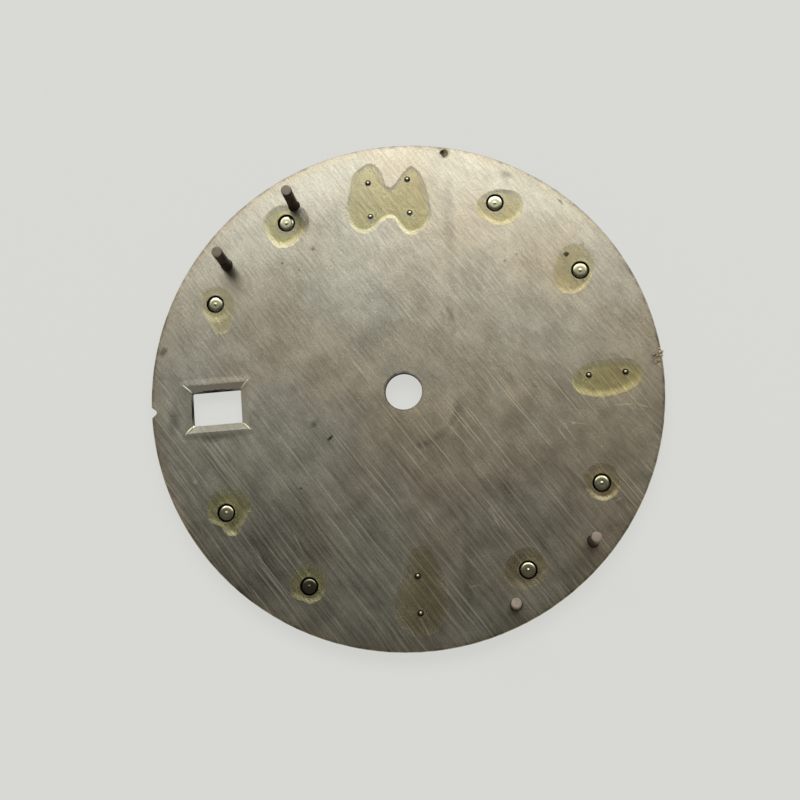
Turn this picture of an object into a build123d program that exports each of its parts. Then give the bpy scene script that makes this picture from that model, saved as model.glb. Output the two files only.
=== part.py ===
from build123d import *
import os
from math import cos, sin, radians, tan

os.makedirs("parts", exist_ok=True)

# Watch dial lying face down on its applied hour markers, with its back up. Sizes are in millimetres and
# angles in degrees. The origin is on the centre hole's axis, on the plate's back face. +Z points out of the
# back and +Y to 12 o'clock. Seen from the back the hours run anticlockwise, which puts 9 o'clock at +X, and
# angles round the dial are counted the same way from 12 o'clock.

# One overrun serves every cut that runs out of the part.
cut_overrun = 0.5

# Plate: a thin blanked disc with a coined funnel round its date window and a locating notch at 3 o'clock.
dial_diameter = 28.5
plate_thickness = 0.4
rim_edge_break = 0.03
centre_hole_diameter = 2.05
centre_hole_edge_break = 0.04
notch_angle = 90
notch_depth = 0.295
notch_root_radius = 0.15
notch_flank_angle = 40
punch_mark_diameter = 0.46
punch_mark_depth = 0.05
punch_mark_rim_distance = 0.35
punch_mark_angle = 346.2

# Date window at 3 o'clock, with its long side along the radius.
window_angle = 90
window_rim_distance = 2.34
window_length = 2.76
window_width = 1.88
window_corner_radius = 0.08
funnel_width = 0.41
funnel_depth = 0.2

# Painted face and the printed minute track on it.
paint_thickness = 0.05
paint_rim_inset = 0.08
print_thickness = 0.02
minute_count = 60
minute_mark_rim_distance = 0.35
minute_mark_length = 0.7
minute_mark_width = 0.12
hour_mark_width = 0.26

# Round applied markers: a turned metal cup with one thick stud through the plate.
hour_count = 12
round_marker_hour_numbers = (1, 2, 4, 5, 7, 8, 10, 11)
round_marker_track_gap = 0.157
round_marker_diameter = 2.3
marker_height = 0.5
marker_rim_width = 0.16
marker_rim_chamfer = 0.05
lume_pocket_depth = 0.22
lume_recess = 0.03
stud_diameter = 0.86
stud_hole_diameter = 1.01
stud_end_height = 0.05
stud_end_chamfer = 0.07
stud_pip_diameter = 0.16
stud_pip_depth = 0.03

# Baton markers: each has two fine feet in line with the radius. Two stand side by side at 12 o'clock.
baton_track_gap = 0.215
baton_length = 3.6
baton_width = 1.4
baton_corner_radius = 0.08
baton_foot_spacing = 1.99
baton_foot_diameter = 0.28
baton_foot_hole_diameter = 0.36
baton_foot_end_height = 0.04
baton_foot_end_chamfer = 0.05
twin_baton_pitch = 2.24
baton_hour_numbers = {"12_left": 12, "12_right": 12, "6": 6, "9": 9}

# Dial feet: four welded copper posts in two pairs, one pair for each place of the movement's crown.
foot_diameter = 0.6
foot_length = 3.0
foot_tip_chamfer = 0.05
foot_weld_width = 0.07
upper_foot_rim_distance = 1.72
lower_foot_rim_distance = 1.11
first_foot_angle = 49.4
second_foot_angle = 25.8
third_foot_angle = 203.0

# Lacquer drops that hold the marker feet, lying on the back. A drop's outline is a smooth closed curve
# through points at equal turns, counted anticlockwise from +X, as shares of how far the drop reaches.
drop_height = 0.16
drop_reach = 1.2
drop_level_shares = (0, 0.45, 0.8, 1)
drop_spread_shares = (1, 0.94, 0.82, 0.62)
round_drop_outline_shares = {
    1: (1.05, 0.95, 0.92, 0.98, 1.05, 1.18, 1.18, 1.13),
    2: (0.93, 0.88, 0.83, 0.70, 0.75, 0.93, 1.35, 1.20),
    4: (1.10, 1.25, 1.15, 1.10, 0.93, 0.88, 1.17, 1.03),
    5: (0.86, 1.00, 1.05, 0.98, 0.90, 0.88, 0.80, 0.80),
    7: (0.66, 0.80, 0.93, 1.08, 1.07, 0.90, 0.71, 0.62),
    8: (1.00, 0.97, 0.98, 0.93, 0.94, 1.00, 1.05, 0.98),
    10: (0.74, 0.93, 1.28, 1.30, 1.20, 1.15, 1.00, 0.80),
    11: (1.15, 0.85, 0.70, 0.70, 0.85, 0.98, 1.12, 1.20),
}
twin_drop_lobe_overlap = 0.08
twin_drop_long_reach = 2.1
twin_drop_outline_shares = {
    "12_left": (1.10, 0.92, 1.00, 1.03, 1.03, 0.84, 0.86, 0.96),
    "12_right": (0.82, 0.76, 0.72, 0.66, 1.00, 0.92, 1.08, 1.00),
}
drop_6_width_reach = 1.4
drop_6_long_reach = 2.3
drop_6_sideways_offset = 0.2
drop_6_shares = (1.00, 0.90, 1.00, 0.85, 0.92, 1.05, 0.93, 1.05)
drop_9_width_reach = 1.05
drop_9_long_reach = 1.92
drop_9_sideways_offset = 0.1
drop_9_shares = (0.99, 0.90, 0.90, 1.00, 1.02, 1.00, 1.13, 1.05)

# Worked out from the sizes above.
dial_radius = dial_diameter / 2
face_level = -plate_thickness
seat_level = face_level - paint_thickness
lowest_level = seat_level - marker_height
minute_mark_radius = dial_radius - minute_mark_rim_distance - minute_mark_length / 2
track_inner_radius = minute_mark_radius - minute_mark_length / 2
round_marker_radius = track_inner_radius - round_marker_track_gap - round_marker_diameter / 2
baton_radius = track_inner_radius - baton_track_gap - baton_length / 2
window_radius = dial_radius - window_rim_distance - window_length / 2
hour_turn = 360 / hour_count
baton_offsets = {
    "12_left": -twin_baton_pitch / 2,
    "12_right": twin_baton_pitch / 2,
    "6": 0,
    "9": 0,
}
twin_drop_width_reach = twin_baton_pitch / 2 + twin_drop_lobe_overlap


def dial_plane(angle, level):
    """A level plane whose +Y runs from the centre at an angle round the dial."""
    return Plane.XY.offset(level).rotated((0, 0, angle))


def hour_plane(hour, level):
    """A level plane whose +Y runs from the centre to an hour."""
    return dial_plane(hour * hour_turn, level)


def on_back(radius, angle):
    """The place on the back face at a radius and an angle round the dial."""
    return (-radius * sin(radians(angle)), radius * cos(radians(angle)))


def save(piece, name):
    """Names a finished piece and writes it to its own file."""
    piece.part.label = name
    export_step(piece.part, f"parts/{name}.step")


def cut_notch(level, thickness):
    """Cuts the rounded V notch in the rim through a layer that starts at a level."""
    flank = radians(notch_flank_angle)
    apex_depth = notch_depth + notch_root_radius / sin(flank) - notch_root_radius
    mouth_half_width = (apex_depth + cut_overrun) * tan(flank)
    with BuildSketch(dial_plane(notch_angle, level)) as notch:
        with BuildLine():
            Polyline(
                (0, dial_radius - apex_depth),
                (mouth_half_width, dial_radius + cut_overrun),
                (-mouth_half_width, dial_radius + cut_overrun),
                close=True,
            )
        make_face()
        fillet(notch.vertices().sort_by_distance((0, 0, 0))[0], notch_root_radius)
    extrude(notch.sketch, amount=thickness, mode=Mode.SUBTRACT)


def press_dimple(place, level, diameter, depth):
    """Presses a ball-shaped dimple of a given mouth and depth down into a level face."""
    ball_radius = (diameter**2 / 4 + depth**2) / (2 * depth)
    with Locations((*place, level + ball_radius - depth)):
        Sphere(ball_radius, mode=Mode.SUBTRACT)


def cut_openings(level, thickness):
    """Cuts the date window and the marker foot holes through a layer that starts at a level."""
    with BuildSketch(dial_plane(window_angle, level)) as window:
        with Locations((0, window_radius)):
            RectangleRounded(window_width, window_length, window_corner_radius)
    extrude(window.sketch, amount=thickness, mode=Mode.SUBTRACT)
    for hour in round_marker_hour_numbers:
        with BuildSketch(hour_plane(hour, level)) as stud_hole:
            with Locations((0, round_marker_radius)):
                Circle(stud_hole_diameter / 2)
        extrude(stud_hole.sketch, amount=thickness, mode=Mode.SUBTRACT)
    for name, hour in baton_hour_numbers.items():
        with BuildSketch(hour_plane(hour, level)) as foot_holes:
            with Locations(*baton_foot_places(name)):
                Circle(baton_foot_hole_diameter / 2)
        extrude(foot_holes.sketch, amount=thickness, mode=Mode.SUBTRACT)


def baton_foot_places(name):
    """The two feet of a baton on its hour's plane."""
    return (
        (baton_offsets[name], baton_radius - baton_foot_spacing / 2),
        (baton_offsets[name], baton_radius + baton_foot_spacing / 2),
    )


# Plate.
with BuildPart() as dial_plate:
    with BuildSketch(Plane.XY.offset(face_level)):
        Circle(dial_radius)
    extrude(amount=plate_thickness)
    chamfer(dial_plate.edges().filter_by(GeomType.CIRCLE), rim_edge_break)
    with BuildSketch(Plane.XY.offset(face_level)):
        Circle(centre_hole_diameter / 2)
    extrude(amount=plate_thickness, mode=Mode.SUBTRACT)
    hole_edges = dial_plate.edges().filter_by(GeomType.CIRCLE).group_by(SortBy.RADIUS)[0]
    chamfer(hole_edges, centre_hole_edge_break)
    cut_notch(face_level, plate_thickness)
    cut_openings(face_level, plate_thickness)
    for level, growth in ((0, funnel_width), (-funnel_depth, 0)):
        with BuildSketch(dial_plane(window_angle, level)):
            with Locations((0, window_radius)):
                RectangleRounded(window_width + 2 * growth, window_length + 2 * growth, window_corner_radius)
    loft(ruled=True, mode=Mode.SUBTRACT)
    punch_mark_place = on_back(dial_radius - punch_mark_rim_distance, punch_mark_angle)
    press_dimple(punch_mark_place, 0, punch_mark_diameter, punch_mark_depth)
save(dial_plate, "dial_plate")

# Painted face, cut back from the plate's rim.
with BuildPart() as face_paint:
    with BuildSketch(Plane.XY.offset(seat_level)):
        Circle(dial_radius - paint_rim_inset)
        Circle(centre_hole_diameter / 2 + centre_hole_edge_break, mode=Mode.SUBTRACT)
    extrude(amount=paint_thickness)
    cut_notch(seat_level, paint_thickness)
    cut_openings(seat_level, paint_thickness)
save(face_paint, "face_paint")

# Printed minute track, with a wider mark at each hour.
with BuildPart() as minute_track:
    with BuildSketch(Plane.XY.offset(seat_level - print_thickness)):
        with PolarLocations(minute_mark_radius, minute_count):
            Rectangle(minute_mark_length, minute_mark_width)
        with PolarLocations(minute_mark_radius, hour_count):
            Rectangle(minute_mark_length, hour_mark_width)
    extrude(amount=print_thickness)
    cut_notch(seat_level - print_thickness, print_thickness)
save(minute_track, "minute_track")


def round_marker(hour):
    """A turned cup, open downwards, and the stud that comes through the plate's back."""
    place = (0, round_marker_radius)
    with BuildPart() as marker:
        with BuildSketch(hour_plane(hour, lowest_level)):
            with Locations(place):
                Circle(round_marker_diameter / 2)
        extrude(amount=marker_height)
        chamfer(marker.edges().sort_by(Axis.Z)[0], marker_rim_chamfer)
        with BuildSketch(hour_plane(hour, lowest_level)):
            with Locations(place):
                Circle(round_marker_diameter / 2 - marker_rim_width)
        extrude(amount=lume_pocket_depth, mode=Mode.SUBTRACT)
        with BuildSketch(hour_plane(hour, seat_level)):
            with Locations(place):
                Circle(stud_diameter / 2)
        extrude(amount=stud_end_height - seat_level)
        chamfer(marker.edges().sort_by(Axis.Z)[-1], stud_end_chamfer)
        press_dimple(
            on_back(round_marker_radius, hour * hour_turn), stud_end_height, stud_pip_diameter, stud_pip_depth
        )
    return marker


def round_lume(hour):
    """The luminous filling of a round marker, a little below its rim."""
    with BuildPart() as lume:
        with BuildSketch(hour_plane(hour, lowest_level + lume_recess)):
            with Locations((0, round_marker_radius)):
                Circle(round_marker_diameter / 2 - marker_rim_width)
        extrude(amount=lume_pocket_depth - lume_recess)
    return lume


def baton_outline(name, inset):
    """A baton's rounded rectangle on its hour's plane, drawn in by an inset."""
    with Locations((baton_offsets[name], baton_radius)):
        RectangleRounded(baton_width - 2 * inset, baton_length - 2 * inset, baton_corner_radius)


def baton_marker(name, hour):
    """A stamped baton, open downwards, and its two fine feet."""
    with BuildPart() as marker:
        with BuildSketch(hour_plane(hour, lowest_level)):
            baton_outline(name, 0)
        extrude(amount=marker_height)
        chamfer(marker.edges().group_by(Axis.Z)[0], marker_rim_chamfer)
        with BuildSketch(hour_plane(hour, lowest_level)):
            baton_outline(name, marker_rim_width)
        extrude(amount=lume_pocket_depth, mode=Mode.SUBTRACT)
        with BuildSketch(hour_plane(hour, seat_level)):
            with Locations(*baton_foot_places(name)):
                Circle(baton_foot_diameter / 2)
        extrude(amount=baton_foot_end_height - seat_level)
        chamfer(marker.edges().group_by(Axis.Z)[-1], baton_foot_end_chamfer)
    return marker


def baton_lume(name, hour):
    """The luminous filling of a baton, a little below its rim."""
    with BuildPart() as lume:
        with BuildSketch(hour_plane(hour, lowest_level + lume_recess)):
            baton_outline(name, marker_rim_width)
        extrude(amount=lume_pocket_depth - lume_recess)
    return lume


# Applied markers and their luminous fillings.
for hour in round_marker_hour_numbers:
    save(round_marker(hour), f"hour_marker_{hour}")
    save(round_lume(hour), f"lume_{hour}")
for name, hour in baton_hour_numbers.items():
    save(baton_marker(name, hour), f"baton_{name}")
    save(baton_lume(name, hour), f"lume_{name}")


def dial_foot(place):
    """A round post with a weld fillet at its base and a broken edge at its tip."""
    radius = foot_diameter / 2
    x, y = place
    with BuildPart() as foot:
        with BuildSketch(Plane(origin=(x, y, 0), x_dir=(1, 0, 0), z_dir=(0, -1, 0))):
            with BuildLine():
                FilletPolyline(
                    (radius + foot_weld_width, 0),
                    (radius, foot_weld_width),
                    (radius, foot_length - foot_tip_chamfer),
                    (radius - foot_tip_chamfer, foot_length),
                    radius=foot_tip_chamfer / 2,
                )
                Polyline(
                    (radius - foot_tip_chamfer, foot_length),
                    (0, foot_length),
                    (0, 0),
                    (radius + foot_weld_width, 0),
                )
            make_face()
        revolve(axis=Axis((x, y, 0), (0, 0, 1)))
    return foot


# Dial feet. The fourth is turned from the third as the first is from the second.
foot_places = [
    on_back(dial_radius - upper_foot_rim_distance, first_foot_angle),
    on_back(dial_radius - upper_foot_rim_distance, second_foot_angle),
    on_back(dial_radius - lower_foot_rim_distance, third_foot_angle),
    on_back(dial_radius - lower_foot_rim_distance, third_foot_angle + first_foot_angle - second_foot_angle),
]
for number, place in enumerate(foot_places, start=1):
    save(dial_foot(place), f"dial_foot_{number}")


def lay_lobe(place, reach_x, reach_y, outline_shares):
    """Adds one domed lobe of lacquer to the drop in hand, as levels that draw in towards the top."""
    x, y = place
    turn = 360 / len(outline_shares)
    levels = []
    for level_share, spread_share in zip(drop_level_shares, drop_spread_shares):
        points = [
            (
                x + reach_x * spread_share * share * cos(radians(step * turn)),
                y + reach_y * spread_share * share * sin(radians(step * turn)),
            )
            for step, share in enumerate(outline_shares)
        ]
        with BuildSketch(Plane.XY.offset(drop_height * level_share)) as level:
            with BuildLine():
                Spline(*points, periodic=True)
            make_face()
        levels.append(level.sketch)
    loft(levels, ruled=True)


def cut_posts(places, diameter, height):
    """Cuts the room that upright posts take up in the drop in hand."""
    with BuildSketch() as posts:
        with Locations(*places):
            Circle(diameter / 2)
    extrude(posts.sketch, amount=height, mode=Mode.SUBTRACT)


def cut_dial_feet():
    """Cuts the room of the dial feet and their welds, wherever one stands in the drop in hand."""
    cut_posts(foot_places, foot_diameter + 2 * foot_weld_width, drop_height)


def baton_feet_on_back(name):
    """The places on the back face of a baton's two feet."""
    plane = hour_plane(baton_hour_numbers[name], 0)
    return [plane.from_local_coords((*place, 0)) for place in baton_foot_places(name)]


# Lacquer drops over the round markers' studs. The second dial foot stands in the edge of the first drop.
for hour, outline_shares in round_drop_outline_shares.items():
    place = on_back(round_marker_radius, hour * hour_turn)
    with BuildPart() as drop:
        lay_lobe(place, drop_reach, drop_reach, outline_shares)
        cut_posts([place], stud_diameter, stud_end_height)
        cut_dial_feet()
    save(drop, f"fixing_lacquer_{hour}")

# Lacquer over the batons' feet: two lobes run together at 12 o'clock, and one long drop each at 6 and 9.
with BuildPart() as twin_drop:
    for name, outline_shares in twin_drop_outline_shares.items():
        place = (baton_offsets[name], baton_radius)
        lay_lobe(place, twin_drop_width_reach, twin_drop_long_reach, outline_shares)
    for name in twin_drop_outline_shares:
        cut_posts(baton_feet_on_back(name), baton_foot_diameter, baton_foot_end_height)
    cut_dial_feet()
save(twin_drop, "fixing_lacquer_12")

with BuildPart() as long_drop_6:
    lay_lobe((drop_6_sideways_offset, -baton_radius), drop_6_width_reach, drop_6_long_reach, drop_6_shares)
    cut_posts(baton_feet_on_back("6"), baton_foot_diameter, baton_foot_end_height)
    cut_dial_feet()
save(long_drop_6, "fixing_lacquer_6")

with BuildPart() as long_drop_9:
    lay_lobe((baton_radius, -drop_9_sideways_offset), drop_9_long_reach, drop_9_width_reach, drop_9_shares)
    cut_posts(baton_feet_on_back("9"), baton_foot_diameter, baton_foot_end_height)
    cut_dial_feet()
save(long_drop_9, "fixing_lacquer_9")
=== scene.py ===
"""Looks of a watch dial that lies face down: its brushed back, stud ends, dial feet and lacquer drops.

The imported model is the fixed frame. Every length below is in millimetres unless its name says otherwise,
and is turned to metres where it reaches a mesh. The frame is the dial's own: the origin is on the centre
hole's axis at the back face, +Z points out of the back, +Y to 12 o'clock and +X to 9 o'clock.
"""

import logging
import math
from collections.abc import Callable, Sequence
from dataclasses import dataclass
from enum import Enum
from functools import partial
from typing import Any

import bmesh
import bpy
import numpy as np
from mathutils import Matrix, Vector
from numpy.typing import NDArray

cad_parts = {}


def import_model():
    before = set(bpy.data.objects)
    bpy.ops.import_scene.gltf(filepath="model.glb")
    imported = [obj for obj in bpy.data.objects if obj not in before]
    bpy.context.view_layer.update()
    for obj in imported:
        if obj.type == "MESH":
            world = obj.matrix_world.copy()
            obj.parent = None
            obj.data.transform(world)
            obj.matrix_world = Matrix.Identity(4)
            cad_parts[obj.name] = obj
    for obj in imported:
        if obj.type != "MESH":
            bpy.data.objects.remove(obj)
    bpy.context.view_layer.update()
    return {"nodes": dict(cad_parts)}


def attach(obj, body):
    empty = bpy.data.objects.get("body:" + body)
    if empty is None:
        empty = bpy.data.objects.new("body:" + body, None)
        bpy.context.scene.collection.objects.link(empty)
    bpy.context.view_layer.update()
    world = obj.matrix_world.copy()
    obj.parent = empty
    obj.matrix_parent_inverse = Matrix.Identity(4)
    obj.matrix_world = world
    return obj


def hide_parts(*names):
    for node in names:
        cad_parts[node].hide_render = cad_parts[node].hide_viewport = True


FloatArray = NDArray[np.float64]
Colour = tuple[float, float, float, float]
Pair = tuple[float, float]
Triple = tuple[float, float, float]
Quad = tuple[float, float, float, float]
NodeAdder = Callable[..., bpy.types.Node]

METRES_PER_MM = 0.001
MERGE_DISTANCE = 0.0001
SHARP_DEGREES = 35.0

# Sizes that several sub-assemblies share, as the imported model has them
RIM_RADIUS = 14.25
WINDOW_CENTRE = (-10.53, 0.0)
FUNNEL_HALF_SIZE = (1.79, 1.35)
ROUND_HOURS = (1, 2, 4, 5, 7, 8, 10, 11)
ROUND_RADIUS = 11.893
BATON_RADIUS = 11.185
BATON_FOOT_SPACING = 1.99
TWIN_BATON_PITCH = 2.24

# Values that many nodes share
MM_SCALE = (1 / METRES_PER_MM,) * 3
FAR = 1000.0
MIDDLE = (0.5, 0.5, 0.5)
FLAT = (1.0, 1.0, 0.0)
NOISE_SPAN = (0.3, 0.7)
KIND_SETTINGS = {"MapRange": {"interpolation_type": "SMOOTHSTEP"}, "Mix": {"data_type": "RGBA"}}

log = logging.getLogger("watch_dial")


# Colours and nodes


def srgb(code: str) -> Colour:
    """Turns a colour as written for a screen into linear light.

    Args:
        code: Six hex digits, red first.

    Returns:
        Linear red, green, blue and an alpha of one.
    """
    shares = [int(code[start : start + 2], 16) / 255 for start in (0, 2, 4)]
    linear = [share / 12.92 if share <= 0.04045 else ((share + 0.055) / 1.055) ** 2.4 for share in shares]
    return (linear[0], linear[1], linear[2], 1.0)


def add_node(tree: bpy.types.NodeTree, kind: str, *values: Any, **named: Any) -> bpy.types.Node:
    """Adds a shader node with its settings and links.

    A sum's node adds unless its operation is named, and a kind in KIND_SETTINGS has the settings there.

    Args:
        tree: Node tree of the material or world.
        kind: Blender's type name of the node, without "ShaderNode".
        *values: What goes into the inputs in use, in their order: a number, vector or colour, a socket, or
            a node, which stands for its first output in use.
        **named: Settings of the node, and what goes into inputs by their name.

    Returns:
        The new node.
    """
    node = tree.nodes.new(f"ShaderNode{kind}")
    inputs = {socket.name: socket for socket in node.inputs}
    for name, value in (KIND_SETTINGS.get(kind, {}) | named).items():
        if name not in inputs:
            setattr(node, name, value)
    targets = list(zip([socket for socket in node.inputs if socket.enabled], values))
    targets += [(inputs[name], value) for name, value in named.items() if name in inputs]
    for socket, value in targets:
        if isinstance(value, bpy.types.Node):
            value = next(output for output in value.outputs if output.enabled)
        if isinstance(value, bpy.types.NodeSocket):
            tree.links.new(value, socket)
        else:
            socket.default_value = value
    return node


def new_material(name: str) -> tuple[bpy.types.Material, NodeAdder]:
    """Makes an empty material.

    Args:
        name: Name of the material.

    Returns:
        The material and the function that adds nodes to it.
    """
    material = bpy.data.materials.new(name)
    material.use_nodes = True
    material.node_tree.nodes.clear()
    return material, partial(add_node, material.node_tree)


# Meshes


def at_hour(across: Any, along: Any, hour: float) -> tuple[Any, Any]:
    """Turns places beside an hour's radius into the dial's own, where the hours run anticlockwise.

    The pair (across, along) is turned about the centre by 30 degrees times the hour.

    Args:
        across: Distances to the side of the radius, a number or an array.
        along: Distances from the centre along it.
        hour: Hour on the dial.

    Returns:
        The places' x and y.
    """
    angle = math.radians(hour * 30)
    x = across * math.cos(angle) - along * math.sin(angle)
    y = across * math.sin(angle) + along * math.cos(angle)
    return x, y


def lathe(profile: FloatArray, centre: Pair, segments: int = 96) -> FloatArray:
    """Turns a profile round an upright axis.

    Each point goes to (centre + radius * (cos angle, sin angle), height), with the angle in equal steps
    round the full turn.

    Args:
        profile: Rows of radius and height.
        centre: Axis of the turn.
        segments: Number of steps.

    Returns:
        Grid of points, one row for each profile point.
    """
    angles = np.linspace(0, 2 * np.pi, segments + 1)
    x = centre[0] + profile[:, :1] * np.cos(angles)
    y = centre[1] + profile[:, :1] * np.sin(angles)
    z = np.broadcast_to(profile[:, 1:], x.shape)
    return np.stack([x, y, z], axis=-1)


def soften(corners: list[Pair], reaches: Sequence[float], steps: int = 6) -> FloatArray:
    """Rounds the inner corners of a run of straight lines.

    Each corner becomes the curve (1-t)^2 * before + 2t(1-t) * corner + t^2 * after, where before and after
    lie on its two lines at the corner's reach.

    Args:
        corners: Points of the run, with its ends.
        reaches: How far from each inner corner its curve starts.
        steps: Points on each curve.

    Returns:
        The rounded run.
    """
    run = np.array(corners)
    inner = run[1:-1]
    back = run[:-2] - inner
    ahead = run[2:] - inner
    reach = np.array(reaches)[:, None]
    before = inner + back / np.linalg.norm(back, axis=1, keepdims=True) * reach
    after = inner + ahead / np.linalg.norm(ahead, axis=1, keepdims=True) * reach
    t = np.linspace(0, 1, steps)[None, :, None]
    curves = (1 - t) ** 2 * before[:, None] + 2 * t * (1 - t) * inner[:, None] + t**2 * after[:, None]
    return np.concatenate([run[:1], curves.reshape(-1, run.shape[1]), run[-1:]])


def rounded_rectangle(half_width: float, half_length: float, corner: float, steps: int = 7) -> FloatArray:
    """Draws a closed rounded rectangle.

    Each quarter is an arc: corner centre + corner radius * (cos angle, sin angle), and straight sides join
    the arcs. The first point is repeated at the end.

    Args:
        half_width: Half of the size along the first axis.
        half_length: Half of the size along the second axis.
        corner: Radius of the corners.
        steps: Points on each corner.

    Returns:
        Rows of two coordinates.
    """
    start = np.arange(4) * np.pi / 2
    sides = np.sign(np.stack([np.cos(start + np.pi / 4), np.sin(start + np.pi / 4)], axis=1))
    centres = sides * np.array([half_width - corner, half_length - corner])
    angles = start[:, None] + np.linspace(0, np.pi / 2, steps)[None, :]
    arcs = centres[:, None] + corner * np.stack([np.cos(angles), np.sin(angles)], axis=-1)
    outline = arcs.reshape(-1, 2)
    return np.concatenate([outline, outline[:1]])


def closed_curve(points: FloatArray, steps: int) -> FloatArray:
    """Draws a smooth closed curve through points.

    Between two points the curve is the cubic that passes through both and whose slope at each is half the
    step between that point's neighbours.

    Args:
        points: Points in order, the first not repeated.
        steps: Points on each stretch.

    Returns:
        The curve, with its first point repeated at the end.
    """
    before, here, after, beyond = (np.roll(points, turn, axis=0)[:, None] for turn in (1, 0, -1, -2))
    t = np.linspace(0, 1, steps, endpoint=False)[None, :, None]
    curve = 0.5 * (
        2 * here
        + (after - before) * t
        + (2 * before - 5 * here + 4 * after - beyond) * t**2
        + (3 * here - before - 3 * after + beyond) * t**3
    )
    outline = curve.reshape(-1, points.shape[1])
    return np.concatenate([outline, outline[:1]])


def distance_to(outline: FloatArray, places: FloatArray) -> FloatArray:
    """Measures how far places are from an outline.

    Each place is dropped square onto each of the outline's lines, no further than the line's ends, and the
    least of its distances counts.

    Args:
        outline: Rows of two coordinates, the first repeated at the end.
        places: Grid of places.

    Returns:
        A distance for each place.
    """
    step = np.diff(outline, axis=0)
    from_start = places[:, :, None] - outline[:-1]
    share = np.clip((from_start * step).sum(axis=-1) / (step**2).sum(axis=-1), 0, 1)
    return np.linalg.norm(from_start - share[..., None] * step, axis=-1).min(axis=2)


def lump(
    centre: Triple, size: Triple | FloatArray, phase: float, roughness: float = 0.25, steps: int = 12
) -> FloatArray:
    """Builds a small rough lump.

    An egg whose radius is scaled by one plus the roughness times the sine of three times its height angle
    plus four times its turn angle, which fades at its poles.

    Args:
        centre: Middle of the lump.
        size: Half of its size along each axis.
        phase: Start of the roughness's wave, which makes lumps differ.
        roughness: Greatest share that the radius grows or shrinks by.
        steps: Steps from pole to pole, half as many as round it.

    Returns:
        A closed grid of points.
    """
    tilt = np.linspace(0, np.pi, steps + 1)[:, None]
    turn = np.linspace(0, 2 * np.pi, 2 * steps + 1)[None, :]
    radius = 1 + roughness * np.sin(3 * tilt + 4 * turn + phase) * np.sin(tilt)
    x = centre[0] + size[0] * radius * np.sin(tilt) * np.cos(turn)
    y = centre[1] + size[1] * radius * np.sin(tilt) * np.sin(turn)
    z = centre[2] + size[2] * radius * np.cos(tilt) + 0 * turn
    return np.stack([x, y, z], axis=-1)


def dress(shown: bpy.types.Object, material: bpy.types.Material) -> None:
    """Gives an object one material and nothing else, and reports it.

    Args:
        shown: The object.
        material: Its finish.
    """
    shown.data.materials.clear()
    shown.data.materials.append(material)
    log.info("%s: %d faces, %s", shown.name, len(shown.data.polygons), material.name)


def make_object(
    name: str,
    grids: list[FloatArray],
    material: bpy.types.Material,
    sharp_degrees: float = SHARP_DEGREES,
) -> bpy.types.Object:
    """Makes one dressed object of grids of points.

    A grid's own map has the share of the way across as u, and as v the mean way along its rows in
    millimetres. Points that meet are merged, which closes seams and poles.

    Args:
        name: Name of the object.
        grids: Grids of points.
        material: Its finish.
        sharp_degrees: Edges that turn by more than this stay sharp.

    Returns:
        The new object.
    """
    faces, maps = [], []
    start = 0
    for grid in grids:
        rows, columns = grid.shape[:2]
        corner = start + np.arange(rows - 1)[:, None] * columns + np.arange(columns - 1)[None, :]
        quads = np.stack([corner, corner + 1, corner + columns + 1, corner + columns], axis=-1)
        steps = np.linalg.norm(np.diff(grid, axis=0), axis=2).mean(axis=1)
        way = np.concatenate([[0.0], np.cumsum(steps)])
        across = np.linspace(0, 1, columns)
        faces.append(quads.reshape(-1, 4))
        maps.append(np.stack(np.broadcast_arrays(across[None, :], way[:, None]), axis=-1).reshape(-1, 2))
        start += rows * columns
    points = np.concatenate([grid.reshape(-1, 3) for grid in grids])
    mesh = bpy.data.meshes.new(name)
    mesh.from_pydata((points * METRES_PER_MM).tolist(), [], np.concatenate(faces).tolist())
    layer = mesh.uv_layers.new(name="surface_map")
    corners = np.empty(len(mesh.loops), dtype=np.int32)
    mesh.loops.foreach_get("vertex_index", corners)
    layer.uv.foreach_set("vector", np.concatenate(maps)[corners].astype(np.float32).ravel())
    work = bmesh.new()
    work.from_mesh(mesh)
    bmesh.ops.remove_doubles(work, verts=work.verts, dist=MERGE_DISTANCE * METRES_PER_MM)
    bmesh.ops.recalc_face_normals(work, faces=work.faces)
    work.to_mesh(mesh)
    work.free()
    mesh.polygons.foreach_set("use_smooth", np.ones(len(mesh.polygons), dtype=bool))
    mesh.set_sharp_from_angle(angle=math.radians(sharp_degrees))
    made = bpy.data.objects.new(name, mesh)
    bpy.context.scene.collection.objects.link(made)
    dress(made, material)
    return made


def make_piece(
    name: str,
    grids: list[FloatArray],
    material: bpy.types.Material,
    stands_for: str | None = None,
    sharp_degrees: float = SHARP_DEGREES,
) -> None:
    """Makes one piece of closed grids of points and lets it ride on the dial.

    Args:
        name: Name of the piece.
        grids: Closed grids of points.
        material: Its finish.
        stands_for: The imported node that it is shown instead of.
        sharp_degrees: Edges that turn by more than this stay sharp.
    """
    piece = make_object(name, grids, material, sharp_degrees)
    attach(piece, "root")
    if stands_for is not None:
        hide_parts(stands_for)


# Finishes


@dataclass(frozen=True)
class Mark:
    """One soft-edged mark: a smudge, a pit, a scratch, a broad area or a band of painted shade.

    Its tone is added to the metal's, so that a negative one darkens. The soft share is how much of the way
    from the outline to the middle the tone takes to reach its full strength.
    """

    x: float
    y: float
    half_length: float
    half_width: float
    turn_degrees: float
    tone: float
    soft_share: float = 0.9


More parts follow.
